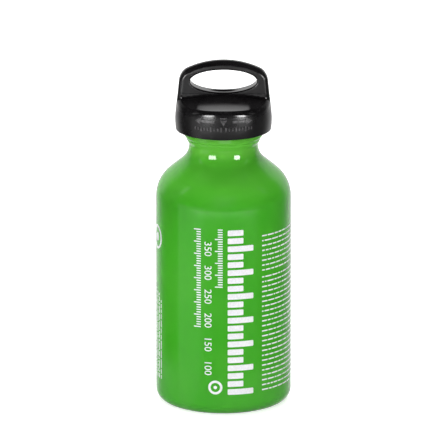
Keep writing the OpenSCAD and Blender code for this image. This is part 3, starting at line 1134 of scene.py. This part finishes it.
def wrapPiece(name, build, cutStep, radiusAt, aroundR, material, crease=30):
    # radiusAt gives the surface under a height, aroundR the radius at which u is measured
    low, high = [pick(vert.co.x for vert in build.verts) for pick in (min, max)]
    for index in range(1, math.ceil((high - low) / cutStep)):
        everything = build.verts[:] + build.edges[:] + build.faces[:]
        bmesh.ops.bisect_plane(build, geom=everything, dist=1e-5,
                               plane_co=(low + index * cutStep, 0, 0), plane_no=(1, 0, 0))
    for vert in build.verts:
        u, v, lift = vert.co
        radius, angle = radiusAt(v) + lift, u / aroundR
        vert.co = (radius * math.sin(angle), -radius * math.cos(angle), v)
    bmesh.ops.recalc_face_normals(build, faces=build.faces)
    bmesh.ops.scale(build, vec=(mm, mm, mm), verts=build.verts)
    mesh = bpy.data.meshes.new(name)
    build.to_mesh(mesh)
    build.free()
    mesh.materials.append(material)
    mesh.shade_smooth()
    mesh.set_sharp_from_angle(angle=math.radians(crease))
    return addObject(name, mesh)


# the white print: across is along the barrel's round, from its front line, to the right

ink = {"thick": 0.045, "sunk": 0.02, "cutStep": 0.8}

gauge = {
    "from": 2.1, "wide": 13.4,
    "low": 11.3, "high": 96.9,
    "groups": 7,
    "space": 1.2,                # left free above the last group
    "bars": 3,                   # in each group, the first one long
    "bar": 2.95,
    "shortShare": 0.6,
    "corner": 0.5,
}

rulers = {
    "places": ({"from": -15.3, "wide": 3.7, "low": 46.4, "high": 97.0},
               {"from": -4.3, "wide": 3.9, "low": 67.5, "high": 97.2}),
    "step": 1.25,
    "tick": 0.56,
    "corner": 0.1,
    "longEvery": 5,
    "shortShare": 0.62,
}

# the figures read downwards beside the gauge's groups
numbers = {"foot": -9.6, "size": 5.2, "step": 50}

rings = (
    {"across": -4.14, "height": 15.1, "radii": (3.6, 2.4, 0.9)},
    {"across": -45.4, "height": 86.8, "radii": (6.2, 4.9, 2.2)},
)

# level rows of uneven dashes at the right, and upright lines of them at the left
rowBlock = {
    "from": 20.6, "to": 62,
    "paragraphs": ((92.5, 74.7), (71.1, 46.6), (42.9, 12.6)),
    "pitch": 2.55,
    "line": 0.68,
    "ragged": (0, 3),
    "lastShorter": (4, 24),
    "seed": 11,
}
lineBlock = {
    "from": -61, "to": -39.4,
    "low": 13.7, "high": 62.8,
    "pitch": 2.6,
    "line": 0.7,
    "ragged": (0, 8),
    "seed": 5,
}
dashes = {"lengths": (0.8, 4.6), "space": 0.6, "leastEnd": 1, "corner": 0.2}


def gaugeBars(groupStep):
    barStep = groupStep / gauge["bars"]
    return [barOutline(gauge["from"], gauge["low"] + group * groupStep + bar * barStep,
                       gauge["wide"] * (gauge["shortShare"] if bar else 1), gauge["bar"], gauge["corner"])
            for group in range(gauge["groups"]) for bar in range(gauge["bars"])]


def rulerTicks(ruler):
    count = round((ruler["high"] - ruler["low"]) / rulers["step"])
    step = (ruler["high"] - ruler["low"]) / count
    ticks = []
    for index in range(count + 1):
        wide = ruler["wide"] * (rulers["shortShare"] if index % rulers["longEvery"] else 1)
        ticks.append(barOutline(ruler["from"] + ruler["wide"] - wide,
                                ruler["low"] + index * step - rulers["tick"] / 2,
                                wide, rulers["tick"], rulers["corner"]))
    return ticks


def brokenLine(start, end, chance):
    # dashes of uneven length, each with its start, up to the end of the line
    runs, at = [], start
    while at < end - dashes["leastEnd"]:
        length = min(chance.uniform(*dashes["lengths"]), end - at)
        runs.append((at, length))
        at += length + dashes["space"]
    return runs


def rowDashes():
    chance = random.Random(rowBlock["seed"])
    outlines = []
    for top, bottom in rowBlock["paragraphs"]:
        rows = round((top - bottom) / rowBlock["pitch"])
        for row in range(rows + 1):
            end = rowBlock["to"] - chance.uniform(*rowBlock["lastShorter" if row == rows else "ragged"])
            low = top - row * rowBlock["pitch"] - rowBlock["line"] / 2
            outlines += [barOutline(at, low, length, rowBlock["line"], dashes["corner"])
                         for at, length in brokenLine(rowBlock["from"], end, chance)]
    return outlines


def lineDashes():
    chance = random.Random(lineBlock["seed"])
    outlines = []
    for line in range(round((lineBlock["to"] - lineBlock["from"]) / lineBlock["pitch"]) + 1):
        end = lineBlock["high"] - chance.uniform(*lineBlock["ragged"])
        left = lineBlock["from"] + line * lineBlock["pitch"]
        outlines += [barOutline(left, at, lineBlock["line"], length, dashes["corner"])
                     for at, length in brokenLine(lineBlock["low"], end, chance)]
    return outlines


def makePrint(white):
    groupStep = (gauge["high"] - gauge["low"] + gauge["space"]) / gauge["groups"]
    outlines = gaugeBars(groupStep)
    outlines += [tick for ruler in rulers["places"] for tick in rulerTicks(ruler)]
    outlines += [circleOutline(ring["across"], ring["height"], r) for ring in rings for r in ring["radii"]]
    outlines += rowDashes() + lineDashes()
    figures = [(str(numbers["step"] * (group + 1)), numbers["size"], numbers["foot"],
                gauge["low"] + group * groupStep + gauge["bar"] / 2) for group in range(1, gauge["groups"])]
    build = solidsFrom(outlines, ink["thick"], figures)
    surfaceR = barrelR - shell["paint"] - ink["sunk"]
    piece = wrapPiece("whitePrint", build, ink["cutStep"], lambda height: surfaceR, barrelR, white)
    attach(piece, "bottle")
    print("print ready,", len(piece.data.polygons), "faces")


# raised on the skirt: an arrow to each side, a wedge between them and a row of ticks below
marks = {
    "high": 0.42,
    "sunk": 0.15,
    "upperZ": 150.3,
    "lowerZ": 146.4,
    "arrow": (4.6, 15.2),        # along the skirt, on both sides of the middle
    "shaft": 1.1,
    "head": 3.4,
    "wedgeHalf": 1.8,
    "wedge": (-1.9, 0.9),        # its tip and its top, from upperZ
    "wedgeBar": (1.4, 0.7, 0.2),     # the bar above it: where it starts, its height and its corners
    "ticks": 9,
    "tickFrom": 1.2,
    "tickStep": 1.7,
    "tickSize": (0.75, 2.4),
    "tickCorner": 0.25,
    "shortShare": 0.6,
    "longEvery": 3,
    "cutStep": 0.6,
    "softEdge": 0.16,
}


def markOutlines():
    z, shaft, head = marks["upperZ"], marks["shaft"] / 2, marks["head"] / 2
    near, tip = marks["arrow"]
    body = tip - marks["head"]
    arrow = [(near, z - shaft), (body, z - shaft), (body, z - head), (tip, z),
             (body, z + head), (body, z + shaft), (near, z + shaft)]
    outlines = [[(side * u, v) for u, v in arrow][::side] for side in (-1, 1)]
    half, (low, high) = marks["wedgeHalf"], marks["wedge"]
    outlines.append([(0, z + low), (half, z + high), (-half, z + high)])
    lift, tall, corner = marks["wedgeBar"]
    outlines.append(barOutline(-half, z + lift, 2 * half, tall, corner))
    wide, longTick = marks["tickSize"]
    for side in (-1, 1):
        for tick in range(marks["ticks"]):
            tall = longTick * (marks["shortShare"] if tick % marks["longEvery"] else 1)
            middle = side * (marks["tickFrom"] + tick * marks["tickStep"])
            outlines.append(barOutline(middle - wide / 2, marks["lowerZ"] - tall / 2,
                                       wide, tall, marks["tickCorner"]))
    return outlines


# the marks' paler grey is a painted highlight, not a colour of their own
def makeCapMarks(glintGrey):
    build = solidsFrom(markOutlines(), marks["high"] + marks["sunk"])
    piece = wrapPiece("capMarks", build, marks["cutStep"], lambda height: sideR(height) - marks["sunk"],
                      cap["wideR"], glintGrey)
    soften = piece.modifiers.new("softEdges", "BEVEL")
    soften.width, soften.segments, soften.limit_method = marks["softEdge"] * mm, 2, "ANGLE"
    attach(piece, "cap")
    print("cap marks ready")


makeCamera()
makeStudio()
makeShell(greenEnamel(), plainFinish("bareAluminium"))
makeSeal(plainFinish("sealRubber"))
makePlug(plainFinish("greyAcetal"))
makeSpring(plainFinish("springSteel"))
makeCap(blackNylon())
makeCapMarks(plainFinish("glintGreyNylon"))
makePrint(plainFinish("whiteInk"))
